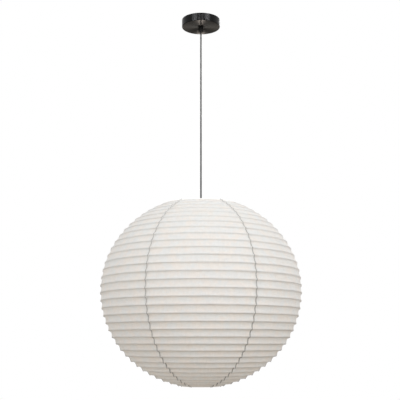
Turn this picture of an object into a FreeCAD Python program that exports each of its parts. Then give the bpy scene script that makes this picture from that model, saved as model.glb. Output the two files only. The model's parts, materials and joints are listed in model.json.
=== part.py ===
import FreeCAD, Part
import bisect
import math
import os

# A ribbed globe pendant lamp. Millimetres, +Z up.
# The ceiling plane is z = 0 and everything hangs below it on the Z axis.

# shade: an oblate globe of wire hoops under six sewn gores of cloth
shade_radius = 300.0
shade_rise = 280.0            # widest level up to where the upper curve would close
shade_drop = 285.0            # widest level down to where the lower curve would close
widest_level = -856.0
top_ring_radius = 112.0
bottom_ring_radius = 56.0
end_wire = 4.0                # wire of the top and bottom rings
hoop_wire = 1.6
hoop_count = 33
top_hoop_gap = 12.5           # along the curve, from the top ring to the first hoop
bottom_hoop_gap = 9.5         # along the curve, from the last hoop to the bottom ring
gore_count = 6
cloth = 0.6
cloth_clearance = 0.3

# ceiling fitting
canopy_radius = 60.0
canopy_height = 24.5
canopy_wall = 1.2
canopy_edge = 1.5
canopy_gap = 0.5              # shadow gap under the ceiling
bracket_width = 25.0
bracket_thickness = 2.0
lug_drop = 14.0
lug_clearance = 0.4
slot_spacing = 66.0
slot_width = 4.5
slot_length = 12.0
side_screw = 4.0
side_screw_length = 7.0
driver_slot = 0.8               # width and depth of the slot in every screw
fit_clearance = 0.05

block_length = 17.0
block_width = 20.0
block_height = 12.0
block_gap = 2.5               # between the grip's thread and the block
block_way_drop = 5.8          # bracket's underside down to the middle of the block's ways
block_way_pitch = 10.0
block_way_bore = 3.4
block_screw = 3.0
block_screw_length = 7.0

# cord and its grip
cord_diameter = 5.0
cord_clearance = 0.3
grip_diameter = 16.0
grip_length = 17.0
grip_round = 1.0
grip_thread = 10.0
grip_thread_length = 9.0
grip_nut_width = 17.0
grip_nut_height = 3.0
grip_screw = 3.0
wire_diameter = 1.8
wire_spread = 1.2
wire_bend = 5.0
sheath_rise = 1.0             # sheath's end above the grip's thread
bend_length = 35.0            # cord between its two bending points

# lampholder, its nut and the bulb
fitter_recess = 30.0          # fitter ring below the top ring
fitter_thickness = 2.5
fitter_rim = 7.0
arm_width = 8.0
arm_count = 3
arm_knee = 6.0                # fitter ring's edge out to where an arm starts to rise
saddle_reach = 3.5            # saddle past the top ring's wire, towards the axis
saddle_lip = 1.2              # saddle past the wire, away from the axis
saddle_seat = 0.4             # middle of the wire down to the saddle's top
saddle_foot = 2.0
skirt_radius = 20.0
skirt_length = 42.0
socket_lip = 2.5              # socket's mouth past the top of the bulb's glass
flange_reach = 4.0            # flange past the skirt
flange_thickness = 3.0
spigot_length = 8.0
cap_radius = 19.0
cap_wall = 2.0
cap_side = 18.0
cap_cone = 8.0
cap_top_radius = 8.0
nut_reach = 8.0               # shade nut past the skirt
nut_height = 8.0
nut_round = 1.2
nut_notches = 24
nut_notch = 1.6               # radius of each finger notch
face_gap = 0.3
shell_wall = 0.5
shell_length = 16.0
shell_drop = 1.0              # shell's end below the socket's end
tongue_length = 18.0
tongue_width = 5.0
tongue_thickness = 0.8
bulb_thread_radius = 13.1
bulb_thread_length = 24.0
bulb_clearance = 0.35
bulb_seat = 1.5               # bulb's top contact below the socket's end
bulb_contact_radius = 4.0
bulb_collar_radius = 6.0
bulb_collar_drop = 2.0        # each of the two slopes above the screw shell
bulb_radius = 30.0
bulb_length = 78.0
bulb_wall = 1.0
bulb_shoulder = 30.0          # degrees above the ball's widest level
bulb_waist = 1.5              # how far the neck is drawn in

cord_radius = cord_diameter / 2
axis = FreeCAD.Vector(0, 0, 1)
centre = FreeCAD.Vector(0, 0, 0)


def at(x, y, z):
    return FreeCAD.Vector(x, y, z)


def rod(radius, low, high, x=0.0, y=0.0):
    return Part.makeCylinder(radius, high - low, at(x, y, low), axis)


def hexagon(width, low, high):
    reach = width / math.sqrt(3)
    corners = [at(reach * math.cos(k * math.pi / 3), reach * math.sin(k * math.pi / 3), low)
               for k in range(7)]
    return Part.Face(Part.makePolygon(corners)).extrude(at(0, 0, high - low))


def turned(outline):
    """A closed outline of (radius, height) points, turned about the axis."""
    points = [at(r, 0, z) for r, z in outline]
    return Part.Face(Part.makePolygon(points + points[:1])).revolve(centre, axis, 360)


def wire_ring(radius, wire, level):
    return Part.makeTorus(radius, wire / 2, at(0, 0, level), axis)


def turned_copies(shape, count, first=0.0):
    copies = []
    for k in range(count):
        copy = shape.copy()
        copy.rotate(centre, axis, first + 360.0 * k / count)
        copies.append(copy)
    return copies


def bent_wire(points, radius, bend):
    """A round wire through three points, with one tangent arc at the middle one."""
    start, corner, end = points
    back = (start - corner).normalize()
    ahead = (end - corner).normalize()
    half_turn = (math.pi - back.getAngle(ahead)) / 2
    near = corner + back * (bend * math.tan(half_turn))
    far = corner + ahead * (bend * math.tan(half_turn))
    inward = (back + ahead).normalize()
    middle = corner + inward * (bend / math.cos(half_turn) - bend)
    edges = [Part.LineSegment(start, near).toShape(),
             Part.Arc(near, middle, far).toShape(),
             Part.LineSegment(far, end).toShape()]
    section = Part.Wire(Part.Circle(start, back, radius).toShape())
    return Part.Wire(edges).makePipeShell([section], True, False)


def save(name, *solids):
    shape = solids[0] if len(solids) == 1 else Part.makeCompound(list(solids))
    print(name, len(shape.Solids), "solids", round(shape.Volume), "mm3", shape.isValid())
    shape.exportStep("parts/" + name + ".step")


# the shade's curve

def level_on(radius, inset, upper):
    """Height of the globe's curve, drawn in by inset, at a radius from the axis."""
    height = (shade_rise if upper else shade_drop) - inset
    rise = height * math.sqrt(1 - (radius / (shade_radius - inset)) ** 2)
    return widest_level + (rise if upper else -rise)


def half_curve(upper, end_radius):
    """Points of the hoops' own curve, from the widest level to an end ring."""
    width = shade_radius - hoop_wire / 2
    height = (shade_rise if upper else shade_drop) - hoop_wire / 2
    side = height if upper else -height
    steps = 4000
    turns = [math.acos(end_radius / width) * k / steps for k in range(steps + 1)]
    return [(width * math.cos(turn), widest_level + side * math.sin(turn)) for turn in turns]


def hoop_places():
    """(radius, level) of every hoop, evenly spaced along the curve from top to bottom."""
    curve = half_curve(True, top_ring_radius)[::-1] + half_curve(False, bottom_ring_radius)[1:]
    gone = [0.0]
    for near, far in zip(curve, curve[1:]):
        gone.append(gone[-1] + math.dist(near, far))
    pitch = (gone[-1] - top_hoop_gap - bottom_hoop_gap) / (hoop_count - 1)
    places = []
    for number in range(hoop_count):
        wanted = top_hoop_gap + pitch * number
        after = bisect.bisect(gone, wanted)
        share = (wanted - gone[after - 1]) / (gone[after] - gone[after - 1])
        near, far = curve[after - 1], curve[after]
        places.append((near[0] + share * (far[0] - near[0]), near[1] + share * (far[1] - near[1])))
    return places


top_level = level_on(top_ring_radius, end_wire / 2, True)
bottom_level = level_on(bottom_ring_radius, end_wire / 2, False)
hoops = hoop_places()


def cloth_curve(outset, upper):
    """One half of the curve, pushed out by outset, from the widest level to its end ring."""
    width = shade_radius + outset
    height = (shade_rise if upper else shade_drop) + outset
    side = height if upper else -height
    end = (top_ring_radius if upper else bottom_ring_radius) - end_wire / 2
    ellipse = Part.Ellipse(at(width, 0, widest_level), at(0, 0, widest_level + side),
                           at(0, 0, widest_level))
    return Part.ArcOfEllipse(ellipse, 0, math.acos(end / width)).toShape()


def gore():
    """One cloth panel between two seams, from the top ring to the bottom ring."""
    inner, outer = cloth_clearance, cloth_clearance + cloth
    edges = []
    for upper in (True, False):
        near, far = cloth_curve(inner, upper), cloth_curve(outer, upper)
        edges += [near, far, Part.makeLine(near.Vertexes[-1].Point, far.Vertexes[-1].Point)]
    outline = Part.Wire(Part.__sortEdges__(edges))
    return Part.Face(outline).revolve(centre, axis, 360.0 / gore_count)


# the ceiling fitting

canopy_top = -canopy_gap
canopy_bottom = canopy_top - canopy_height
canopy_floor = canopy_bottom + canopy_wall
canopy_bore = canopy_radius - canopy_wall
bracket_reach = canopy_bore - lug_clearance
side_screw_level = -lug_drop / 2 - bracket_thickness / 2
grip_exit = canopy_bottom - grip_length
first_bend = grip_exit
second_bend = first_bend - bend_length


def side_screws(radius, inner, outer):
    pair = []
    for side in (1, -1):
        screw = Part.makeCylinder(radius, outer - inner, at(side * inner, 0, side_screw_level),
                                  at(side, 0, 0))
        pair.append(screw)
    return pair


def driver_cut(x, y, z, size):
    """A box of the driver slot's width and depth; size names its long side."""
    length = {side: driver_slot for side in "xyz"}
    length[size] = 2 * side_screw
    return Part.makeBox(length["x"], length["y"], length["z"],
                        at(x - length["x"] / 2, y - length["y"] / 2, z - length["z"] / 2))


def canopy_screws():
    """Two set screws, flush with the canopy's side."""
    screws = side_screws(side_screw / 2, canopy_radius - side_screw_length, canopy_radius)
    slots = [driver_cut(side * (canopy_radius - driver_slot / 2), 0, side_screw_level, "z")
             for side in (1, -1)]
    return [screw.cut(cut) for screw, cut in zip(screws, slots)]


def canopy_cup():
    cup = rod(canopy_radius, canopy_bottom, canopy_top)
    edge = [e for e in cup.Edges if abs(e.BoundBox.ZMax - canopy_bottom) < 0.01 and len(e.Vertexes) == 1]
    cup = cup.makeFillet(canopy_edge, edge)
    cup = cup.cut(rod(canopy_bore, canopy_floor, canopy_top + 1))
    cup = cup.cut(rod(grip_thread / 2 + fit_clearance, canopy_bottom - 1, canopy_floor + 1))
    for hole in side_screws(side_screw / 2 + fit_clearance, canopy_bore - 2, canopy_radius + 1):
        cup = cup.cut(hole)
    return cup


def slot(x):
    half = (slot_length - slot_width) / 2
    low, high = -bracket_thickness - 1, 1
    middle = Part.makeBox(2 * half, slot_width, high - low, at(x - half, -slot_width / 2, low))
    ends = [rod(slot_width / 2, low, high, x + side * half) for side in (1, -1)]
    return middle.fuse(ends).removeSplitter()


def ceiling_bracket():
    """A steel strip under the ceiling, its two ends turned down to take the side screws."""
    bar = Part.makeBox(2 * bracket_reach, bracket_width, lug_drop,
                       at(-bracket_reach, -bracket_width / 2, -lug_drop))
    inside = bracket_reach - bracket_thickness
    bar = bar.cut(Part.makeBox(2 * inside, bracket_width + 2, lug_drop - bracket_thickness,
                               at(-inside, -bracket_width / 2 - 1, -lug_drop)))
    bar = bar.common(rod(bracket_reach, -lug_drop, 0))
    for x in (-slot_spacing / 2, slot_spacing / 2):
        bar = bar.cut(slot(x))
    for hole in side_screws(side_screw / 2 + fit_clearance, inside - 10, canopy_bore):
        bar = bar.cut(hole)
    return bar


def block_ways():
    return [side * block_way_pitch / 2 for side in (1, -1)]


def terminal_block():
    """Two-way block under the bracket, between the grip and one ceiling slot."""
    block = Part.makeBox(block_length, block_width, block_height,
                         at(-block_from_axis - block_length, -block_width / 2, block_bottom))
    for y in block_ways():
        way = Part.makeCylinder(block_way_bore / 2, block_length + 2, at(-block_from_axis + 1, y, way_level),
                                at(-1, 0, 0))
        block = block.cut(way)
        for x in block_screw_places:
            block = block.cut(rod(block_screw / 2 + fit_clearance, block_bottom - 1, way_level, x, y))
    return block


def terminal_screws():
    return [rod(block_screw / 2, block_bottom, block_bottom + screw_reach, x, y)
            .cut(driver_cut(x, y, block_bottom + driver_slot / 2, "x"))
            for y in block_ways() for x in block_screw_places]


def conductors():
    """The two cores spread as they leave the sheath, then turn into the terminal block."""
    rise = way_level - sheath_top
    bend = min(wire_bend, rise * 0.8)
    wires = []
    for y in block_ways():
        near = math.copysign(wire_spread, y)
        below = (near - y) / rise
        points = [at(0, near + below, sheath_top - 1), at(0, y, way_level),
                  at(block_screw_places[0], y, way_level)]
        wire = bent_wire(points, wire_diameter / 2, bend)
        room = Part.makeBox(block_from_axis + block_length, block_width, -sheath_top,
                            at(-block_from_axis - block_length / 2, -block_width / 2, sheath_top))
        wires.append(wire.common(room))
    return wires


grip_thread_top = canopy_floor + grip_thread_length
sheath_top = grip_thread_top + sheath_rise
block_from_axis = grip_thread / 2 + block_gap
block_bottom = -bracket_thickness - block_height
way_level = -bracket_thickness - block_way_drop
block_screw_places = [-block_from_axis - block_length * share for share in (0.25, 0.75)]
screw_reach = min(block_screw_length, way_level - block_way_bore / 2 - block_bottom)


def cord_grip():
    """A black nylon gland: a round body under the canopy and a hollow thread through it."""
    grip = rod(grip_diameter / 2, grip_exit, canopy_bottom)
    lower = [e for e in grip.Edges if abs(e.BoundBox.ZMax - grip_exit) < 0.01 and len(e.Vertexes) == 1]
    grip = grip.makeFillet(grip_round, lower)
    grip = grip.fuse(rod(grip_thread / 2, canopy_bottom, grip_thread_top)).removeSplitter()
    grip = grip.cut(rod(cord_radius + cord_clearance, grip_exit - 1, grip_thread_top + 1))
    return grip.cut(grip_screw_rod(grip_screw / 2 + fit_clearance, grip_diameter))


def grip_screw_rod(radius, reach):
    """The small nylon screw that clamps the cord, at the back of the grip."""
    start = cord_radius + cord_clearance
    level = (grip_exit + canopy_bottom) / 2
    return Part.makeCylinder(radius, reach - start, at(0, start, level), at(0, 1, 0))


def grip_screw_slotted():
    level = (grip_exit + canopy_bottom) / 2
    screw = grip_screw_rod(grip_screw / 2, grip_diameter / 2)
    return screw.cut(driver_cut(0, grip_diameter / 2 - driver_slot / 2, level, "z"))


def grip_nut():
    low = canopy_floor
    nut = hexagon(grip_nut_width, low, low + grip_nut_height)
    return nut.cut(rod(grip_thread / 2 + fit_clearance, low - 1, low + grip_nut_height + 1))


# the hanging cord: its two bending points are round-ended

def ball_end(level):
    return Part.makeSphere(cord_radius, at(0, 0, level))


def cord_bend():
    low = second_bend + cord_radius + cord_clearance
    return rod(cord_radius, low, first_bend).fuse(ball_end(first_bend)).removeSplitter()


def cord():
    return rod(cord_radius, cap_floor, second_bend).fuse(ball_end(second_bend)).removeSplitter()


# the lampholder, with its flange just above the fitter ring

fitter_top = top_level - fitter_recess
flange_radius = skirt_radius + flange_reach
flange_bottom = fitter_top + face_gap
flange_top = flange_bottom + flange_thickness
cap_floor = flange_top + spigot_length
skirt_bottom = fitter_top - skirt_length
socket_radius = bulb_thread_radius + bulb_clearance + shell_wall + fit_clearance
socket_top = skirt_bottom + socket_lip + bulb_thread_length + bulb_seat
nut_top = fitter_top - fitter_thickness - face_gap
nut_radius = skirt_radius + nut_reach
fitter_bore = skirt_radius + face_gap


def lampholder_body():
    spigot = cap_radius - cap_wall - fit_clearance
    return turned([(0, cap_floor), (spigot, cap_floor), (spigot, flange_top), (flange_radius, flange_top),
                   (flange_radius, flange_bottom), (skirt_radius, flange_bottom),
                   (skirt_radius, skirt_bottom), (socket_radius, skirt_bottom),
                   (socket_radius, socket_top), (0, socket_top)])


def lampholder_cap():
    bore = cord_radius + cord_clearance
    side_top = flange_top + cap_side
    top = side_top + cap_cone
    inner = cap_radius - cap_wall
    return turned([(inner, flange_top), (cap_radius, flange_top), (cap_radius, side_top),
                   (cap_top_radius, top), (bore, top), (bore, top - cap_wall),
                   (cap_top_radius - cap_wall / 2, top - cap_wall), (inner, side_top - cap_wall / 2)])


def lampholder_contacts():
    """The screw shell that takes the bulb, and the sprung tongue above it."""
    outer = socket_radius - fit_clearance
    low, high = socket_top - shell_length, socket_top - shell_drop
    shell = rod(outer, low, high).cut(rod(outer - shell_wall, low - 1, high + 1))
    tongue = Part.makeBox(tongue_length, tongue_width, tongue_thickness,
                          at(-tongue_length / 2, -tongue_width / 2, socket_top - tongue_thickness))
    return shell, tongue


def shade_nut():
    ring = rod(nut_radius, nut_top - nut_height, nut_top)
    ring = ring.makeFillet(nut_round, [e for e in ring.Edges if len(e.Vertexes) == 1])
    notch = rod(nut_notch, nut_top - nut_height - 1, nut_top + 1, nut_radius + nut_notch / 2)
    ring = ring.cut(turned_copies(notch, nut_notches))
    return ring.cut(rod(skirt_radius + fit_clearance, nut_top - nut_height - 1, nut_top + 1))


bulb_cap_top = socket_top - bulb_seat
bulb_neck = bulb_cap_top - bulb_thread_length
ball_level = bulb_neck - bulb_length + bulb_radius


def bulb_cap():
    shell = bulb_thread_radius
    collar, shoulder = bulb_cap_top - bulb_collar_drop, bulb_cap_top - 2 * bulb_collar_drop
    return turned([(0, bulb_cap_top), (bulb_contact_radius, bulb_cap_top), (bulb_collar_radius, collar),
                   (shell, shoulder), (shell, bulb_neck), (0, bulb_neck)])


def bulb_body(wall):
    """The pear shape, drawn in by a wall."""
    ball = bulb_radius - wall
    neck = bulb_thread_radius - wall
    join = math.radians(bulb_shoulder)
    start = at(neck, 0, bulb_neck)
    shoulder = at(ball * math.cos(join), 0, ball_level + ball * math.sin(join))
    waist = at((start.x + shoulder.x) / 2 - bulb_waist, 0, (start.z + shoulder.z) / 2)
    side = at(ball, 0, ball_level)
    pole = at(0, 0, ball_level - ball)
    below = at(ball * math.cos(join), 0, ball_level - ball * math.sin(join))
    underside = at(ball * math.sin(join), 0, ball_level - ball * math.cos(join))
    edges = [Part.Arc(start, waist, shoulder).toShape(),
             Part.Arc(shoulder, side, below).toShape(),
             Part.Arc(below, underside, pole).toShape(),
             Part.makeLine(pole, at(0, 0, bulb_neck)),
             Part.makeLine(at(0, 0, bulb_neck), start)]
    return Part.Face(Part.Wire(edges)).revolve(centre, axis, 360)


def bulb_glass():
    return bulb_body(0).cut(bulb_body(bulb_wall))


# the shade's own frame

def arm():
    """A flat bar from the fitter ring out and up to a saddle under the top ring."""
    low, high = fitter_top - fitter_thickness, fitter_top
    root = fitter_bore + fitter_rim / 2
    knee = fitter_bore + fitter_rim + arm_knee
    under = top_level - end_wire / 2 - fitter_thickness
    saddle_in = top_ring_radius - end_wire / 2 - saddle_reach
    saddle_out = top_ring_radius + end_wire / 2 + saddle_lip
    seat = top_level - saddle_seat
    outline = [(root, high), (knee, high), (saddle_in, seat), (saddle_out, seat), (saddle_out, under),
               (saddle_in + saddle_foot, under), (knee, low), (root, low)]
    points = [at(r, -arm_width / 2, z) for r, z in outline]
    bar = Part.Face(Part.makePolygon(points + points[:1])).extrude(at(0, arm_width, 0))
    return bar.cut(wire_ring(top_ring_radius, end_wire + 2 * fit_clearance, top_level))


def spider():
    low, high = fitter_top - fitter_thickness, fitter_top
    hub = rod(fitter_bore + fitter_rim, low, high).cut(rod(fitter_bore, low - 1, high + 1))
    return hub.fuse(turned_copies(arm(), arm_count, 30)).removeSplitter()


os.makedirs("parts", exist_ok=True)

save("ceiling_bracket", ceiling_bracket())
save("canopy_cup", canopy_cup())
save("canopy_screws", *canopy_screws())
save("terminal_block", terminal_block())
save("terminal_screws", *terminal_screws())
save("cord_grip", cord_grip())
save("grip_nut", grip_nut())
save("grip_screw", grip_screw_slotted())
save("cord_inner", rod(cord_radius, first_bend + cord_radius + cord_clearance, sheath_top))
save("conductors", *conductors())

save("cord_bend", cord_bend())
save("cord", cord())
save("lampholder_cap", lampholder_cap())
save("lampholder_body", lampholder_body())
save("lampholder_contacts", *lampholder_contacts())
save("shade_nut", shade_nut())
save("bulb_cap", bulb_cap())
save("bulb_glass", bulb_glass())

save("top_ring", wire_ring(top_ring_radius, end_wire, top_level))
save("spider", spider())
for number, panel in enumerate(turned_copies(gore(), gore_count), 1):
    save("gore_" + str(number), panel)
for number, (radius, level) in enumerate(hoops, 1):
    save("hoop_%02d" % number, wire_ring(radius, hoop_wire, level))
save("bottom_ring", wire_ring(bottom_ring_radius, end_wire, bottom_level))

print("levels: top ring", round(top_level, 2), "bottom ring", round(bottom_level, 2))
print("first bend", first_bend, "second bend", second_bend, "cord's low end", round(cap_floor, 2))
for number, (radius, level) in enumerate(hoops, 1):
    print("hoop", number, "radius", round(radius, 2), "level", round(level, 2))
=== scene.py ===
import json
import math

import bmesh
import bpy
from mathutils import Matrix, Vector, noise


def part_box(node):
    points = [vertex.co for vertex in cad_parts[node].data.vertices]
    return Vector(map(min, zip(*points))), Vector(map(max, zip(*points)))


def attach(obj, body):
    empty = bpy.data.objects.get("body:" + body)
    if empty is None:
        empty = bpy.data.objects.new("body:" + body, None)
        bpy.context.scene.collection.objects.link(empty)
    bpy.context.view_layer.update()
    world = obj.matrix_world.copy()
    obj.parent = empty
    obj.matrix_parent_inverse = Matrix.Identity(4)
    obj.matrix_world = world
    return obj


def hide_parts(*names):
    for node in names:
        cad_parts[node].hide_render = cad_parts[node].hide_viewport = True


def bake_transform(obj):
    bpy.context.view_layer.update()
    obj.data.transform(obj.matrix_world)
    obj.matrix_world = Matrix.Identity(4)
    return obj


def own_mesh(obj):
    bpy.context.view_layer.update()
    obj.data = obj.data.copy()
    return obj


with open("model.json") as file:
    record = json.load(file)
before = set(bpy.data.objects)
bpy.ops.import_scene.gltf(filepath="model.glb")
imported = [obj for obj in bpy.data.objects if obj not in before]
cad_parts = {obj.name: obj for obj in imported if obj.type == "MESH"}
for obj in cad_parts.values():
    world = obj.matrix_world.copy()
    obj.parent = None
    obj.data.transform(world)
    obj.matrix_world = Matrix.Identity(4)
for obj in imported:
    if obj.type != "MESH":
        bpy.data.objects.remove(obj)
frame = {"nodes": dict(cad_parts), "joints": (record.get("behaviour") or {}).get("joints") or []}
bpy.ops.object.select_all(action="DESELECT")
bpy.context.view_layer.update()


# places read from the frame, in metres

# radius of the wire's centre line, its level, and the wire's own radius
def wireRing(node):
    low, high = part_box(node)
    wire = (high.z - low.z) / 2
    return (high.x - low.x) / 2 - wire, (high.z + low.z) / 2, wire


hoopNames = sorted(name for name in frame["nodes"] if name.startswith("hoop_"))
topRing = wireRing("top_ring")
bottomRing = wireRing("bottom_ring")
rings = [topRing] + [wireRing(name) for name in hoopNames] + [bottomRing]
canopyLow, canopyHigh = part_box("canopy_cup")
gripLow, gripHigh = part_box("cord_grip")
joints = {joint["name"]: joint for joint in frame["joints"]}
foldRange = joints["shade_fold"]["range_m"][1]
foldKeep = 1 - foldRange / (topRing[1] - bottomRing[1])
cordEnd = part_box("cord")[0].z


# the camera comes first

cameraView = dict(distance=2.436, belowTopRing=0.412, side=-0.0029, tilt=9.99, lens=72.84)

cameraPlace = (cameraView["side"], -cameraView["distance"], topRing[1] - cameraView["belowTopRing"])
bpy.ops.object.camera_add(location=cameraPlace, rotation=(math.radians(90 + cameraView["tilt"]), 0, 0))
camera = bpy.context.active_object
camera.data.lens = cameraView["lens"]
bpy.context.scene.camera = camera
print("camera placed")


# modelling helpers

def named(name):
    piece = bpy.context.active_object
    piece.name = name
    piece.data.name = name
    bpy.ops.object.select_all(action="DESELECT")
    return piece


def choose(piece):
    bpy.ops.object.select_all(action="DESELECT")
    piece.select_set(True)
    bpy.context.view_layer.objects.active = piece


# puts the object at the origin, with its place kept in its mesh
def placed(piece):
    choose(piece)
    bpy.ops.object.transform_apply(location=True, rotation=True, scale=True)


# runs the steps on the piece in edit mode, with everything in it selected first
def editing(piece, *steps):
    choose(piece)
    bpy.ops.object.mode_set(mode="EDIT")
    bpy.ops.mesh.select_all(action="SELECT")
    for step in steps:
        step()
    bpy.ops.object.mode_set(mode="OBJECT")
    bpy.ops.object.select_all(action="DESELECT")


# an outline of (radius, level) points, pulled up and scaled ring by ring like a pot on a wheel
def turnedPiece(name, outline, sides):
    startRadius, startLevel = outline[0]
    bpy.ops.mesh.primitive_circle_add(vertices=sides, radius=startRadius, location=(0, 0, startLevel))
    piece = named(name)

    def pullUp():
        radius, level = startRadius, startLevel
        for nextRadius, nextLevel in outline[1:]:
            bpy.ops.mesh.extrude_region_move(
                TRANSFORM_OT_translate={"value": (0, 0, nextLevel - level)})
            if abs(nextRadius - radius) > 1e-7:
                share = nextRadius / radius
                bpy.ops.transform.resize(value=(share, share, 1), center_override=(0, 0, nextLevel))
            radius, level = nextRadius, nextLevel

    def settle():
        bpy.ops.mesh.select_all(action="SELECT")
        bpy.ops.mesh.remove_doubles(threshold=1e-6)
        bpy.ops.mesh.normals_make_consistent(inside=False)

    placed(piece)
    editing(piece, pullUp, settle)
    return smoothed(piece)


def smoothed(piece, angle=35):
    choose(piece)
    bpy.ops.object.shade_smooth_by_angle(angle=math.radians(angle))
    bpy.ops.object.select_all(action="DESELECT")
    return piece


# adds a modifier with its settings and applies it
def applied(piece, kind, **settings):
    choose(piece)
    bpy.ops.object.modifier_add(type=kind)
    modifier = piece.modifiers[-1]
    for setting, value in settings.items():
        setattr(modifier, setting, value)
    bpy.ops.object.modifier_apply(modifier=modifier.name)
    bpy.ops.object.select_all(action="DESELECT")
    return piece


# points round a rounded corner of an outline, angles in degrees
def corner(centre, radius, first, last, steps):
    points = []
    for step in range(steps + 1):
        angle = math.radians(first + (last - first) * step / steps)
        points.append((centre[0] + radius * math.cos(angle), centre[1] + radius * math.sin(angle)))
    return points


# one mesh that holds the pattern piece at every place; the pattern is removed
def copiesOf(name, pattern, places):
    points = [vertex.co.copy() for vertex in pattern.data.vertices]
    faces = [tuple(face.vertices) for face in pattern.data.polygons]
    mesh = bpy.data.meshes.new(name)
    mesh.from_pydata([place @ point for place in places for point in points], [],
                     [tuple(index + len(points) * turn for index in face)
                      for turn in range(len(places)) for face in faces])
    bpy.data.objects.remove(pattern)
    piece = bpy.data.objects.new(name, mesh)
    bpy.context.scene.collection.objects.link(piece)
    return smoothed(piece, 60)


# materials

# wraps a socket, so that shader maths reads as plain expressions
class Wire:
    def __init__(self, paint, socket):
        self.paint, self.socket = paint, socket

    def maths(self, operation, first, second=None):
        values = {0: first} if second is None else {0: first, 1: second}
        return self.paint.node("ShaderNodeMath", values, operation=operation)

    def __add__(self, other):
        return self.maths("ADD", self, other)

    def __radd__(self, other):
        return self.maths("ADD", other, self)

    def __sub__(self, other):
        return self.maths("SUBTRACT", self, other)

    def __rsub__(self, other):
        return self.maths("SUBTRACT", other, self)

    def __mul__(self, other):
        return self.maths("MULTIPLY", self, other)

    def __rmul__(self, other):
        return self.maths("MULTIPLY", other, self)

    def __truediv__(self, other):
        return self.maths("DIVIDE", self, other)

    def __pow__(self, other):
        return self.maths("POWER", self, other)

    def sin(self):
        return self.maths("SINE", self)

    def clamped(self):
        return self.paint.node("ShaderNodeClamp", {0: self})


# one material; node() adds any node, and one of its outputs comes back wrapped
class Paint:
    def __init__(self, name, **constants):
        self.material = bpy.data.materials.new(name)
        self.material.use_nodes = True
        self.tree = self.material.node_tree
        self.shader = self.tree.nodes["Principled BSDF"]
        for socket, value in constants.items():
            self.shader.inputs[socket.replace("_", " ")].default_value = value

    def node(self, kind, values=None, output=0, **settings):
        made = self.tree.nodes.new(kind)
        for setting, value in settings.items():
            setattr(made, setting, value)
        for key, value in (values or {}).items():
            self.join(value, made.inputs[key])
        return Wire(self, made.outputs[output])

    def join(self, value, socket):
        if isinstance(value, Wire):
            self.tree.links.new(value.socket, socket)
        else:
            socket.default_value = value

    def feed(self, socket, value):
        self.join(value, self.shader.inputs[socket])

    def objectPoint(self):
        return self.node("ShaderNodeTexCoord", output="Object")

    def parts(self, vector):
        split = self.node("ShaderNodeSeparateXYZ", {0: vector}).socket.node
        return [Wire(self, output) for output in split.outputs]

    # noise, with the stretch given as how much finer it is along each axis
    def clouds(self, vector, scale, detail=3.0, roughness=0.5, stretch=(1, 1, 1)):
        mapped = self.node("ShaderNodeMapping", {"Vector": vector, "Scale": stretch})
        return self.node("ShaderNodeTexNoise", {"Vector": mapped, "Scale": scale, "Detail": detail,
                                                "Roughness": roughness})

    def between(self, share, first, second):
        mixed = self.node("ShaderNodeMix", data_type="RGBA", output="Result")
        inner = mixed.socket.node
        self.join(share, inner.inputs[0])
        self.join(first if isinstance(first, Wire) else (*first, 1), inner.inputs[6])
        self.join(second if isinstance(second, Wire) else (*second, 1), inner.inputs[7])
        return Wire(self, inner.outputs[2])

    # how far round the axis each point is
    def aroundAxis(self, x, y):
        return self.node("ShaderNodeMath", {0: y, 1: x}, operation="ARCTAN2")

    def bumps(self, height, strength, distance):
        bump = self.node("ShaderNodeBump", {"Height": height, "Strength": strength, "Distance": distance})
        self.feed("Normal", bump)
        return bump


def dress(piece, material):
    piece.data.materials.clear()
    piece.data.materials.append(material)
    return piece


def dressNode(node, material):
    for slot in frame["nodes"][node].material_slots:
        slot.material = material


# crease is the colour of the line painted at each hoop: partly the wire showing through, partly painted
# shade
clothLook = dict(warp=1.1e-3, weft=1.3e-3, light=(0.858, 0.846, 0.827), shade=(0.778, 0.76, 0.737),
                 warm=(0.858, 0.812, 0.768), cool=(0.79, 0.817, 0.83), slub=(0.69, 0.67, 0.64),
                 crease=(0.46, 0.46, 0.455), hoopShowAndShadeStrength=0.55, passes=0.26)
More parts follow.
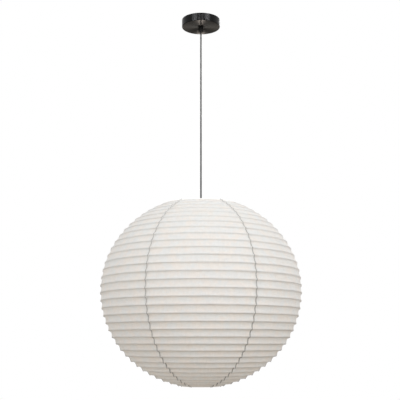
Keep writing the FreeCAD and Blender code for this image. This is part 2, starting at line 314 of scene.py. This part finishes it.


# slub-woven cloth: cloudy, with thick and thin threads, and a darker line at each hoop that is partly the
# wire showing through and partly painted shade under it
def shadeCloth():
    paint = Paint("shadeCloth", Roughness=0.86, Sheen_Weight=0.12, Sheen_Roughness=0.5)
    flat = paint.node("ShaderNodeUVMap", uv_map="cut")
    u, v, _ = paint.parts(flat)
    thick = paint.clouds(flat, 1.0, 3, 0.6, (760, 22, 1))
    cross = paint.clouds(flat, 1.0, 3, 0.6, (26, 700, 1))
    cloudy = paint.clouds(flat, 95.0, 5, 0.62)
    blotch = paint.clouds(flat, 34.0, 4, 0.6)
    tint = paint.clouds(flat, 13.0, 2, 0.5, (1.0, 1.7, 1))
    weave = (u * (math.tau / clothLook["warp"])).sin() * (v * (math.tau / clothLook["weft"])).sin()
    base = paint.between(((cloudy - 0.34) * 3).clamped(), clothLook["shade"], clothLook["light"])
    patch = paint.between(((blotch - 0.4) * 5).clamped(), clothLook["warm"], clothLook["cool"])
    colour = paint.between(0.32 + 0.4 * tint, base, patch)
    slubs = ((thick - 0.58) * 5).clamped() + ((cross - 0.6) * 5).clamped()
    colour = paint.between((slubs * 0.6).clamped(), colour, clothLook["slub"])
    # painted shade under each hoop, together with the wire showing through, darkens the cloth here
    crease = paint.node("ShaderNodeAttribute", attribute_name="hoopShowThroughAndShade", output="Fac")
    uneven = 0.3 + 1.0 * paint.clouds(paint.objectPoint(), 16.0, 3, 0.6)
    hoopShowAndShade = (crease * uneven * clothLook["hoopShowAndShadeStrength"]).clamped()
    colour = paint.between(hoopShowAndShade, colour, clothLook["crease"])
    paint.feed("Base Color", colour)
    height = 0.35 * weave + 0.8 * thick + 0.8 * cross + 0.5 * cloudy
    bump = paint.bumps(height, 0.5, 0.0004)
    through = paint.node("ShaderNodeBsdfTranslucent", {"Color": colour, "Normal": bump})
    both = paint.node("ShaderNodeMixShader", {0: clothLook["passes"], 2: through})
    inner = both.socket.node
    paint.tree.links.new(paint.shader.outputs[0], inner.inputs[1])
    paint.tree.links.new(inner.outputs[0], paint.tree.nodes["Material Output"].inputs[0])
    return paint.material


# twisted cotton: fine diagonal plies, and paler towards the top where painted light falls on it
def threadLook(name, dark, light, pitch=1.6e-3, paintedLitTop=None):
    paint = Paint(name, Roughness=0.82, Sheen_Weight=0.2)
    point = paint.objectPoint()
    x, y, z = paint.parts(point)
    twist = ((x + y * 0.7 + z * 1.3) * (math.tau / pitch)).sin()
    fuzz = paint.clouds(point, 700.0, 2)
    colour = paint.between((0.5 + 0.35 * twist * fuzz + 0.4 * (fuzz - 0.5)).clamped(), dark, light)
    # painted light: the thread is paler towards the top, as if lit from above
    if paintedLitTop:
        height = (z - bottomRing[1]) / (topRing[1] - bottomRing[1])
        colour = paint.between((height ** 1.3 * 0.8).clamped(), colour, paintedLitTop)
    paint.feed("Base Color", colour)
    paint.bumps(twist + fuzz, 0.5, 0.0002)
    return paint.material


# metal turned on a lathe: fine rings about the axis, and smudges
def turnedMetal(name, dark, light, roughness, lines=5200.0):
    paint = Paint(name, Metallic=1.0, Anisotropic=1.0, Anisotropic_Rotation=0.25)
    point = paint.objectPoint()
    x, y, z = paint.parts(point)
    radius = (x * x + y * y) ** 0.5
    turned = paint.node("ShaderNodeTexNoise", {"W": radius + z, "Scale": lines, "Detail": 3.0,
                                               "Roughness": 0.7}, noise_dimensions="1D")
    smudge = paint.clouds(point, 45.0, 4, 0.6)
    paint.feed("Base Color", paint.between((0.7 * turned + 0.5 * smudge - 0.15).clamped(), dark, light))
    paint.feed("Roughness", (roughness - 0.1 + 0.14 * turned + 0.14 * smudge).clamped())
    paint.bumps(turned, 0.25, 0.00006)
    return paint.material


def mouldedPlastic(name, colour, roughness, grain=900.0, gloss=0.5):
    paint = Paint(name, Specular_IOR_Level=gloss)
    point = paint.objectPoint()
    fine = paint.clouds(point, grain, 2)
    wide = paint.clouds(point, 60.0, 3)
    darker = tuple(part * 0.82 for part in colour)
    paint.feed("Base Color", paint.between((0.35 * fine + 0.65 * wide).clamped(), darker, colour))
    paint.feed("Roughness", (roughness - 0.08 + 0.1 * fine + 0.1 * wide).clamped())
    paint.bumps(fine, 0.18, 0.00005)
    return paint.material


def platedSteel(name, dark, light, roughness):
    paint = Paint(name, Metallic=1.0)
    point = paint.objectPoint()
    spangle = paint.node("ShaderNodeTexVoronoi", {"Vector": point, "Scale": 320.0})
    smear = paint.clouds(point, 30.0, 4, 0.6, (6, 1, 1))
    paint.feed("Base Color", paint.between((0.4 * spangle + 0.7 * smear).clamped(), dark, light))
    paint.feed("Roughness", (roughness - 0.12 + 0.25 * smear).clamped())
    paint.bumps(smear, 0.15, 0.0001)
    return paint.material


def enamelledWire(name, colour, chipped):
    paint = Paint(name, Coat_Weight=0.25, Coat_Roughness=0.2)
    point = paint.objectPoint()
    wear = paint.clouds(point, 130.0, 5, 0.7)
    peel = paint.clouds(point, 420.0, 2)
    worn = ((wear - 0.66) * 14).clamped()
    paint.feed("Base Color", paint.between(worn, colour, chipped))
    paint.feed("Roughness", (0.4 + 0.15 * peel + 0.2 * worn).clamped())
    paint.bumps(peel - worn, 0.3, 0.0001)
    return paint.material


# strands is how many run each way round the cable, climb how steeply they turn, in radians a metre
braid = dict(strands=8, climb=1900, rise=0.00012, dark=(0.018, 0.018, 0.018), light=(0.052, 0.052, 0.051))


# round textile cable: strands crossing in both directions
def braidedSleeve():
    paint = Paint("braidedSleeve", Roughness=0.75, Sheen_Weight=0.06)
    point = paint.objectPoint()
    x, y, z = paint.parts(point)
    angle = paint.aroundAxis(x, y)
    one = (angle * braid["strands"] + z * braid["climb"]).sin()
    other = (angle * braid["strands"] - z * braid["climb"]).sin()
    strands = (one * other * 0.5 + 0.5).clamped()
    fuzz = paint.clouds(point, 1400.0, 2)
    paint.feed("Base Color", paint.between((0.65 * strands + 0.5 * fuzz - 0.1).clamped(),
                                           braid["dark"], braid["light"]))
    paint.bumps(strands + 0.4 * fuzz, 0.5, 0.0002)
    return paint.material


def opalGlass():
    paint = Paint("opalGlass", Roughness=0.22, Coat_Weight=0.6, Coat_Roughness=0.06)
    point = paint.objectPoint()
    milk = paint.clouds(point, 40.0, 3)
    paint.feed("Base Color", paint.between(milk, (0.84, 0.84, 0.82), (0.9, 0.9, 0.885)))
    return paint.material


cloth = shadeCloth()
seamThread = threadLook("seamThread", (0.19, 0.19, 0.195), (0.34, 0.34, 0.345), paintedLitTop=(0.62, 0.62, 0.61))
stitchThread = threadLook("stitchThread", (0.60, 0.585, 0.55), (0.78, 0.76, 0.72), 0.9e-3)
blackened = turnedMetal("blackenedSteel", (0.0100, 0.0101, 0.0105), (0.027, 0.0273, 0.0285), 0.31)
zinc = platedSteel("zincSteel", (0.45, 0.46, 0.48), (0.72, 0.73, 0.75), 0.4)
brass = platedSteel("contactBrass", (0.60, 0.43, 0.17), (0.80, 0.62, 0.30), 0.35)
nickel = platedSteel("nickelShell", (0.55, 0.54, 0.52), (0.78, 0.77, 0.74), 0.25)
blackNylon = mouldedPlastic("blackNylon", (0.007, 0.007, 0.0068), 0.42, gloss=0.2)
holderPlastic = mouldedPlastic("holderPlastic", (0.70, 0.69, 0.66), 0.45)
blockPlastic = mouldedPlastic("blockPlastic", (0.74, 0.73, 0.69), 0.4)
coreBlue = mouldedPlastic("coreInsulation", (0.05, 0.12, 0.36), 0.4)
frameEnamel = enamelledWire("frameEnamel", (0.74, 0.73, 0.70), (0.42, 0.41, 0.39))
hoopCoat = enamelledWire("hoopCoat", (0.42, 0.41, 0.385), (0.24, 0.23, 0.215))
sleeve = braidedSleeve()
opal = opalGlass()
print("materials mixed")


# the cord: one straight run from the grip to the lampholder, in two lengths that meet between its two bends

cordSize = dict(diameter=0.005, sides=40, ringPitch=0.0016, topRun=0.031)
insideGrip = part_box("cord_bend")[1].z
cordJoin = Vector((0, 0, insideGrip - cordSize["topRun"]))


def cordLength(name, top, bottom):
    length = top - bottom
    radius = cordSize["diameter"] / 2 - braid["rise"]
    bpy.ops.mesh.primitive_cylinder_add(vertices=cordSize["sides"], radius=radius, depth=length,
                                        location=(0, 0, (top + bottom) / 2))
    piece = named(name)
    placed(piece)

    def ringCuts():
        mesh = bmesh.from_edit_mesh(piece.data)
        upright = [e for e in mesh.edges if abs(e.verts[0].co.z - e.verts[1].co.z) > length / 2]
        bmesh.ops.subdivide_edges(mesh, edges=upright, cuts=int(length / cordSize["ringPitch"]))
        bmesh.update_edit_mesh(piece.data)

    editing(piece, ringCuts)
    for vertex in piece.data.vertices:
        x, y, z = vertex.co
        angle = math.atan2(y, x)
        strand, climb = braid["strands"] * angle, braid["climb"] * z
        rise = braid["rise"] * math.sin(strand + climb) * math.sin(strand - climb)
        vertex.co.xy *= 1 + rise / radius
    dress(piece, sleeve)
    return smoothed(piece, 80)


cordTop = cordLength("cordTop", insideGrip, cordJoin.z)
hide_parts("cord_bend")
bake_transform(cordTop)

cordRun = cordLength("cordRun", cordJoin.z, cordEnd)
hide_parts("cord")
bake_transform(cordRun)
print("cord hung")


# the shade's cloth: six gores sewn edge to edge, drawn in between the hoops

# draws: how deep the bands are at the top, the widest and the bottom
# leaves, meets: the angles, in degrees, at which the cloth comes off a hoop and meets the next one
# steps: how many points go round a hoop, down into the hollow and out of it
# the last three values place the painted shade line under each hoop: how far below the ridge, how wide, and
# its share at the top
shadeCut = dict(gores=6, across=72, thickness=0.00045, ridgeLift=0.0005,
                draws=(0.0019, 0.0035, 0.0047), deepestAt=0.43, leaves=48, meets=28, steps=(2, 5, 6),
                drawVaries=0.16, wander=0.00035, wanderIn=0.0003, pucker=0.0003, sway=0.0013,
                seamDraws=0.22, seamReach=0.010, hoopShadeBelow=0.0002, hoopLineWidth=0.0019, hoopShadeAtTop=0.45)
goreAngle = math.tau / shadeCut["gores"]


# the cloth's highest line on every ring: radius and level
def ridges():
    points = [Vector((radius, level)) for radius, level, wire in rings]
    lifted = []
    for number, point in enumerate(points):
        before = points[max(number - 1, 0)]
        after = points[min(number + 1, len(points) - 1)]
        along = (after - before).normalized()
        lifted.append(point + Vector((-along.y, along.x)) * (rings[number][2] + shadeCut["ridgeLift"]))
    return lifted


ridgeLine = ridges()
bandLength = [(ridgeLine[k + 1] - ridgeLine[k]).length for k in range(len(ridgeLine) - 1)]


# a smooth run between two depths, leaving and arriving at the given slopes
def eased(share, first, last, slopeIn, slopeOut, span):
    turn = share * share * (3 - 2 * share)
    leaving = share ** 3 - 2 * share ** 2 + share
    arriving = share ** 3 - share ** 2
    return first + (last - first) * turn + span * (slopeIn * leaving + slopeOut * arriving)


# how deep a band is drawn in: more the lower it is, and less where it is short
def drawAt(band):
    middle = (ridgeLine[band].y + ridgeLine[band + 1].y) / 2
    atTop, atWidest, atBottom = shadeCut["draws"]
    widestLevel = max(ridgeLine, key=lambda point: point.x).y
    if middle > widestLevel:
        deep = atWidest + (atTop - atWidest) * (middle - widestLevel) / (ridgeLine[0].y - widestLevel)
    else:
        deep = atWidest + (atBottom - atWidest) * (widestLevel - middle) / (widestLevel - ridgeLine[-1].y)
    return deep * bandLength[band] / max(bandLength)


# (way down the band, depth) from one ridge to just before the next: round each wire, hollow between
def bandProfile(length, draw, upperBend, lowerBend):
    leaves, meets = math.radians(shadeCut["leaves"]), math.radians(shadeCut["meets"])
    onHoop, falling, rising = shadeCut["steps"]
    deepest = (length * shadeCut["deepestAt"], draw)
    turns = [leaves * k / onHoop for k in range(onHoop + 1)]
    points = [(upperBend * math.sin(turn), upperBend * (1 - math.cos(turn))) for turn in turns]
    under = points[-1]
    over = (length - lowerBend * math.sin(meets), lowerBend * (1 - math.cos(meets)))
    span = deepest[0] - under[0]
    points += [(under[0] + span * k / falling,
                eased(k / falling, under[1], deepest[1], math.tan(leaves), 0, span))
               for k in range(1, falling + 1)]
    span = over[0] - deepest[0]
    points += [(deepest[0] + span * k / rising,
                eased(k / rising, deepest[1], over[1], 0, -math.tan(meets), span))
               for k in range(1, rising + 1)]
    half = meets / 2
    return points + [(length - lowerBend * math.sin(half), lowerBend * (1 - math.cos(half)))]


# rows of the cloth from top to bottom
def meridian():
    rows = []
    for band, length in enumerate(bandLength):
        upper, lower = ridgeLine[band], ridgeLine[band + 1]
        along = (lower - upper).normalized()
        outward = Vector((-along.y, along.x))
        bends = [rings[ring][2] + shadeCut["ridgeLift"] for ring in (band, band + 1)]
        most = drawAt(band)
        for down, depth in bandProfile(length, most, *bends):
            rows.append(dict(place=upper + along * down, along=along, outward=outward, band=band,
                             down=down, depth=depth, drawn=min(1, depth / most)))
    rows.append(dict(rows[-1], place=ridgeLine[-1], down=bandLength[-1], depth=0, drawn=0))
    return rows


clothRows = meridian()


# a point of the cloth's outer face; lift stands it off along the outward way
def clothPoint(row, azimuth, lift=0.0):
    ringX, ringY, band, drawn = math.cos(azimuth), math.sin(azimuth), row["band"], row["drawn"]
    # the higher the numbers in a noise, the finer that unevenness is round the shade and down it
    slow = noise.noise((ringX * 2.2 + band * 7.3, ringY * 2.2, band * 3.1))
    quick = noise.noise((ringX * 14, ringY * 14, row["place"].y * 9))
    fold = noise.noise((azimuth * 60, row["place"].y * 26, 4.0))
    sway = noise.noise((ringX * 6 + band * 3.7, ringY * 6, band * 5.3))
    fromSeam = abs((azimuth / goreAngle + 0.5) % 1 - 0.5) * goreAngle * row["place"].x
    sewn = shadeCut["seamDraws"] * math.exp(-(fromSeam / shadeCut["seamReach"]) ** 2)
    depth = row["depth"] + drawn * drawn * ((shadeCut["drawVaries"] * slow + sewn) * row["depth"]
                                            + shadeCut["pucker"] * fold)
    stands = lift - depth + max(shadeCut["wander"] * quick, -shadeCut["wanderIn"])
    shift = shadeCut["sway"] * sway * 4 * drawn * (1 - drawn)
    place = row["place"] + row["outward"] * stands + row["along"] * shift
    return Vector((place.x * ringX, place.x * ringY, place.y))


# how far down the cut cloth each row lies
def clothLengths():
    lengths, previous = [0.0], clothRows[0]["place"]
    for row in clothRows[1:]:
        here = row["place"] - row["outward"] * row["depth"]
        lengths.append(lengths[-1] + (here - previous).length)
        previous = here
    return lengths


cutLengths = clothLengths()


# a flat grid, a row of it for each row of the cloth
def clothGrid(name, columns):
    bpy.ops.mesh.primitive_grid_add(x_subdivisions=columns, y_subdivisions=len(clothRows) - 1, size=1)
    return named(name)


def lineOf(vertex):
    return round((0.5 - vertex.co.y) * (len(clothRows) - 1))


# the UV map holds each point's place on the cut cloth, in metres, so that the weave follows it
def markCut(mesh, places):
    layer = mesh.uv_layers[0]
    layer.name = "cut"
    for loop in mesh.loops:
        layer.data[loop.index].uv = places[loop.vertex_index]


def gore(number):
    across = shadeCut["across"]
    piece = clothGrid("gore%d" % number, across)
    mesh = piece.data
    start = (number - 1) * goreAngle
    cut, crease = [], []
    for vertex in mesh.vertices:
        column = round((vertex.co.x + 0.5) * across)
        line = lineOf(vertex)
        row = clothRows[line]
        vertex.co = clothPoint(row, start + goreAngle * column / across)
        cut.append(((column / across - 0.5) * goreAngle * row["place"].x + number * 0.37, cutLengths[line]))
        # the line at each hoop: the wire showing through, and painted shade just below it, weaker towards
        # the top and stronger lower down
        length = bandLength[row["band"]]
        fromHoop = row["down"] if row["down"] < length / 2 else row["down"] - length
        lowness = (topRing[1] - row["place"].y) / (topRing[1] - bottomRing[1])
        crease.append((shadeCut["hoopShadeAtTop"] + (1 - shadeCut["hoopShadeAtTop"]) * lowness)
                      * math.exp(-((fromHoop - shadeCut["hoopShadeBelow"]) / shadeCut["hoopLineWidth"]) ** 2))
    markCut(mesh, cut)
    mesh.attributes.new("hoopShowThroughAndShade", "FLOAT", "POINT").data.foreach_set("value", crease)
    area = sum(face.area for face in mesh.polygons)
    applied(piece, "SOLIDIFY", thickness=shadeCut["thickness"], offset=-1)
    dress(piece, cloth)
    choose(piece)
    bpy.ops.object.shade_smooth()
    bpy.ops.object.select_all(action="DESELECT")
    return piece, area


gores = [gore(number + 1) for number in range(shadeCut["gores"])]


# seams: a felled strip of the same cloth, a grey cord along it and a row of stitches each side

seamCut = dict(columns=6, width=0.0052, lift=0.0007, edgeSinks=0.0001, thickness=0.0005, cord=0.0017,
               cordLift=0.0013, stitchPitch=0.0042, stitchLength=0.0026, stitchWire=0.00042,
               stitchSide=0.0019)


def seamStrip(number):
    azimuth = number * goreAngle
    piece = clothGrid("seamStrip%d" % (number + 1), seamCut["columns"])
    places = []
    for vertex in piece.data.vertices:
        share = vertex.co.x * 2
        line = lineOf(vertex)
        row = clothRows[line]
        spread = share * seamCut["width"] / 2
        lift = seamCut["lift"] * (1 - share ** 4) - seamCut["edgeSinks"]
        vertex.co = clothPoint(row, azimuth + spread / row["place"].x, lift)
        places.append((spread + number * 0.11, cutLengths[line]))
    markCut(piece.data, places)
    applied(piece, "SOLIDIFY", thickness=seamCut["thickness"], offset=-1)
    dress(piece, cloth)
    return smoothed(piece, 70)


# a round grey cord laid along the seam, following every ridge and hollow
def seamCord(number):
    azimuth = number * goreAngle
    bpy.ops.curve.primitive_nurbs_path_add()
    piece = named("seamCord%d" % (number + 1))
    curve = piece.data
    curve.splines.clear()
    spline = curve.splines.new("POLY")
    spline.points.add(len(clothRows) - 1)
    for point, row in zip(spline.points, clothRows):
        point.co = (*clothPoint(row, azimuth, seamCut["cordLift"]), 1)
    curve.dimensions = "3D"
    curve.bevel_depth = seamCut["cord"] / 2
    curve.bevel_resolution = 2
    curve.use_fill_caps = True
    choose(piece)
    bpy.ops.object.convert(target="MESH")
    piece = named("seamCord%d" % (number + 1))
    dress(piece, seamThread)
    return smoothed(piece, 70)


def stitchPattern():
    bpy.ops.mesh.primitive_cylinder_add(vertices=6, radius=seamCut["stitchWire"],
                                        depth=seamCut["stitchLength"], end_fill_type="TRIFAN")
    pattern = named("stitchPattern")
    editing(pattern, lambda: bpy.ops.mesh.subdivide(number_cuts=1))
    for vertex in pattern.data.vertices:  # full in the middle and thin at the ends
        share = abs(vertex.co.z) / (seamCut["stitchLength"] / 2)
        vertex.co.xy *= 1.1 - 0.55 * share ** 3
    return pattern


def stitchPlaces(azimuth):
    places = []
    wanted, line = seamCut["stitchPitch"] / 2, 0
    while line < len(clothRows) - 1:
        while line < len(clothRows) - 1 and cutLengths[line + 1] < wanted:
            line += 1
        if line >= len(clothRows) - 1:
            break
        share = (wanted - cutLengths[line]) / (cutLengths[line + 1] - cutLengths[line])
        for side in (-1, 1):
            offset = side * seamCut["stitchSide"] / clothRows[line]["place"].x
            upper = clothPoint(clothRows[line], azimuth + offset, seamCut["lift"])
            lower = clothPoint(clothRows[line + 1], azimuth + offset, seamCut["lift"])
            middle = upper.lerp(lower, share)
            turn = (upper - lower).to_track_quat("Z", "Y").to_matrix().to_4x4()
            places.append(Matrix.Translation(middle) @ turn)
        wanted += seamCut["stitchPitch"]
    return places


seamStrips, seamCords, seamStitches = [], [], []
for number in range(shadeCut["gores"]):
    seamStrips.append(seamStrip(number))
    seamCords.append(seamCord(number))
    stitches = copiesOf("seamStitches%d" % (number + 1), stitchPattern(), stitchPlaces(number * goreAngle))
    dress(stitches, stitchThread)
    seamStitches.append(stitches)
print("seams felled and stitched")


# bound hems: tape folded over the top and bottom rings

hemCut = dict(round=0.0029, sides=18, segments=216, crease=0.00018, tuck=0.00012, tucks=90, ribs=420)


def hem(name, ring, body):
    radius, level, _ = ring
    bpy.ops.mesh.primitive_torus_add(major_segments=hemCut["segments"], minor_segments=hemCut["sides"],
                                     major_radius=radius, minor_radius=hemCut["round"],
                                     location=(0, 0, level))
    piece = named(name)
    placed(piece)
    for vertex in piece.data.vertices:
        azimuth = math.atan2(vertex.co.y, vertex.co.x)
        crease = hemCut["crease"] * noise.noise((azimuth * radius * 260, vertex.co.z * 60, 2.0))
        tuck = hemCut["tuck"] * math.sin(azimuth * hemCut["tucks"])
        away = Vector((vertex.co.x, vertex.co.y, 0)).normalized() * radius
        away.z = level
        out = (vertex.co - away).normalized()
        vertex.co += out * (crease + tuck)
    dress(piece, hemCloth)
    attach(piece, body)
    return smoothed(piece, 70)


# the hem's tape: the cloth's colours, with its ribs round the wire
def tapeLook():
    paint = Paint("hemTape", Roughness=0.85, Sheen_Weight=0.12)
    point = paint.objectPoint()
    x, y, z = paint.parts(point)
    ribs = (paint.aroundAxis(x, y) * hemCut["ribs"]).sin()
    blotch = paint.clouds(point, 60.0, 4, 0.6)
    paint.feed("Base Color", paint.between((0.5 * blotch + 0.2 * ribs + 0.3).clamped(),
                                           clothLook["shade"], clothLook["light"]))
    paint.bumps(ribs + blotch, 0.4, 0.0002)
    return paint.material


hemCloth = tapeLook()
hem("topHem", topRing, "shade")
hem("bottomHem", bottomRing, "bottom_ring")
print("hems bound")

for number, (piece, area) in enumerate(gores):
    onIt = [seamStrips[number], seamCords[number], seamStitches[number]]
    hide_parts("gore_%d" % (number + 1))
    for folding in [piece] + onIt:
        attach(folding, "shade")
        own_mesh(folding)
print("cloth sewn to the rings")


# the canopy: a spun cup with a rounded lower edge and a fine step round the grip

cupShape = dict(edge=0.0018, rim=0.0004, step=0.0125, stepWidth=0.0006, stepDepth=0.0004, hole=0.00505,
                wall=0.0012, innerRound=0.0012, innerRim=0.0003, sides=160)


def canopyCup():
    radius = (canopyHigh.x - canopyLow.x) / 2
    top, bottom = canopyHigh.z, canopyLow.z
    edge, rim, hole = cupShape["edge"], cupShape["rim"], cupShape["hole"]
    step, slope = cupShape["step"], cupShape["stepWidth"]
    outline = [(radius - rim, top)] + corner((radius - rim, top - rim), rim, 90, 0, 2)[1:]
    outline += [(radius, top - rim - 0.003), (radius, bottom + edge + 0.002)]  # these keep the side flat
    outline += corner((radius - edge, bottom + edge), edge, 0, -90, 6)
    outline += [(radius - edge - 0.002, bottom), (step + slope, bottom),
                (step, bottom + cupShape["stepDepth"]), (step - slope, bottom),
                (hole + 0.001, bottom), (hole, bottom)]
    floor = bottom + cupShape["wall"]
    inner = radius - cupShape["wall"]
    bend, lip = cupShape["innerRound"], cupShape["innerRim"]
    outline += [(hole, floor), (inner - bend, floor)]
    outline += corner((inner - bend, floor + bend), bend, -90, 0, 4)[1:]
    outline += [(inner, top - lip), (inner + lip, top)]
    piece = turnedPiece("canopyCup", outline + outline[:1], cupShape["sides"])
    dress(piece, blackened)
    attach(piece, "ceiling_fitting")
    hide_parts("canopy_cup")


canopyCup()


# the cord grip: a turned nylon gland with a waist, a domed mouth and its thread

gripShape = dict(round=0.0011, waist=0.0007, bore=0.0028, boreStart=0.0012, mouth=0.0036,
                 waistUp=(0.0045, 0.0052, 0.0060, 0.0067), topEdge=0.0008,
                 thread=0.005, pitch=0.001, threadDepth=0.0004, sides=72)


def cordGrip():
    outer = (gripHigh.x - gripLow.x) / 2
    low, under, top = gripLow.z, canopyLow.z, gripHigh.z
    rounding, bore, edge = gripShape["round"], gripShape["bore"], gripShape["topEdge"]
    outline = [(bore, low + 0.003), (bore, low + gripShape["boreStart"]), (gripShape["mouth"], low)]
    outline += corner((outer - rounding, low + rounding), rounding, -90, 0, 5)
    waist = [outer, outer - gripShape["waist"], outer - gripShape["waist"], outer]
    outline += [(radius, low + up) for radius, up in zip(waist, gripShape["waistUp"])]
    thread, pitch = gripShape["thread"], gripShape["pitch"]
    root = thread - gripShape["threadDepth"]
    outline += [(outer, under - edge), (outer - edge, under), (thread, under)]
    level = under
    while level + pitch < top:
        outline += [(thread, level + pitch * 0.1), (root, level + pitch * 0.5),
                    (thread, level + pitch * 0.9)]
        level += pitch
    outline += [(root, top), (bore, top), (bore, low + 0.01)]
    piece = turnedPiece("cordGrip", outline + outline[:1], gripShape["sides"])
    dress(piece, blackNylon)
    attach(piece, "ceiling_fitting")
    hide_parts("cord_grip")


cordGrip()
print("canopy and grip turned")


# CAD parts that keep their shape get their finishes

finishes = {
    "ceiling_bracket": zinc, "canopy_screws": blackened, "terminal_block": blockPlastic,
    "terminal_screws": zinc, "grip_nut": blackNylon, "grip_screw": blackNylon, "cord_inner": sleeve,
    "conductors": coreBlue, "lampholder_cap": holderPlastic, "lampholder_body": holderPlastic,
    "lampholder_contacts": brass, "shade_nut": holderPlastic, "bulb_cap": nickel, "bulb_glass": opal,
    "top_ring": frameEnamel, "spider": frameEnamel, "bottom_ring": frameEnamel,
}
for node, material in finishes.items():
    dressNode(node, material)
for node in hoopNames:
    dressNode(node, hoopCoat)
print("finishes on")


# studio: pale floor, soft lights, white surroundings

studio = dict(floorDrop=2.3, floorRadius=28.0, floorColour=(0.54, 0.49, 0.43),
              skyColour=(1.0, 0.995, 0.985), skyUp=1.22, skyDown=0.38, seen=1.0)


def studioFloor():
    bpy.ops.mesh.primitive_circle_add(vertices=96, radius=studio["floorRadius"], fill_type="NGON",
                                      location=(0, 0, bottomRing[1] - studio["floorDrop"]))
    floor = named("studioFloor")
    paint = Paint("floorPaint", Roughness=0.8)
    fine = paint.clouds(paint.objectPoint(), 3.0, 4)
    shade = tuple(part * 0.97 for part in studio["floorColour"])
    paint.feed("Base Color", paint.between(fine, shade, studio["floorColour"]))
    dress(floor, paint.material)


def studioSky():
    world = bpy.data.worlds.new("studioSky")
    bpy.context.scene.world = world
    world.use_nodes = True
    nodes, links = world.node_tree.nodes, world.node_tree.links
    light = nodes["Background"]
    light.inputs[0].default_value = (*studio["skyColour"], 1)
    seen = nodes.new("ShaderNodeBackground")
    seen.inputs[0].default_value = (1, 1, 1, 1)
    seen.inputs[1].default_value = studio["seen"]
    where = nodes.new("ShaderNodeTexCoord")
    split = nodes.new("ShaderNodeSeparateXYZ")
    ramp = nodes.new("ShaderNodeMapRange")
    ramp.inputs["From Min"].default_value = -1
    ramp.inputs["To Min"].default_value = studio["skyDown"]
    ramp.inputs["To Max"].default_value = studio["skyUp"]
    links.new(where.outputs["Generated"], split.inputs[0])
    links.new(split.outputs[2], ramp.inputs["Value"])
    links.new(ramp.outputs[0], light.inputs[1])
    path = nodes.new("ShaderNodeLightPath")
    mix = nodes.new("ShaderNodeMixShader")
    links.new(path.outputs["Is Camera Ray"], mix.inputs[0])
    links.new(light.outputs[0], mix.inputs[1])
    links.new(seen.outputs[0], mix.inputs[2])
    links.new(mix.outputs[0], nodes["World Output"].inputs[0])


softboxes = {
    "keyBox": dict(place=(2.4, -2.7, 0.35), size=(1.3, 1.7), power=46.5),
    "fillBox": dict(place=(-1.9, -2.75, -0.3), size=(0.9, 1.7), power=26.5),
    "backBox": dict(place=(0.6, 2.8, 1.6), size=(1.6, 1.2), power=24),
}
# boxes with a grid, whose narrow beam reaches only the canopy: a fan of them in front, each at its own
# angle in degrees, and a warm one low behind
gridBoxes = dict(powers={-50: 0.17, -39: 0.22, -28: 0.22, -10: 0.2, 9: 0.2, 27: 0.27, 38: 0.3, 48: 0.15},
                 reach=3.0, height=1.25, size=(0.55, 0.5), spread=14)
glintBox = dict(place=(0, 1.9, -2.3), size=(0.25, 0.5), power=0.45, spread=14, colour=(1, 0.87, 0.75))


def softbox(name, aim, place, size, power, spread=180, colour=(1, 1, 1)):
    turn = (aim - Vector(place)).to_track_quat("-Z", "Y").to_euler()
    bpy.ops.object.light_add(type="AREA", location=place, rotation=turn)
    lamp = bpy.context.active_object
    lamp.name = name
    lamp.data.shape = "RECTANGLE"
    lamp.data.size, lamp.data.size_y = size
    lamp.data.energy = power
    lamp.data.spread = math.radians(spread)
    lamp.data.color = colour
    lamp.visible_camera = False


def studioLights():
    shade, canopy = Vector((0, 0, topRing[1])), Vector((0, 0, canopyLow.z))
    for name, box in softboxes.items():
        softbox(name, shade, **box)
    for azimuth, power in gridBoxes["powers"].items():
        turn = math.radians(azimuth)
        place = (gridBoxes["reach"] * math.sin(turn), -gridBoxes["reach"] * math.cos(turn),
                 gridBoxes["height"])
        softbox("gridBox%d" % azimuth, canopy, place, gridBoxes["size"], power, gridBoxes["spread"])
    softbox("glintBox", canopy, **glintBox)


studioFloor()
studioSky()
studioLights()
bpy.context.scene.view_settings.view_transform = "Standard"
print("studio lit")
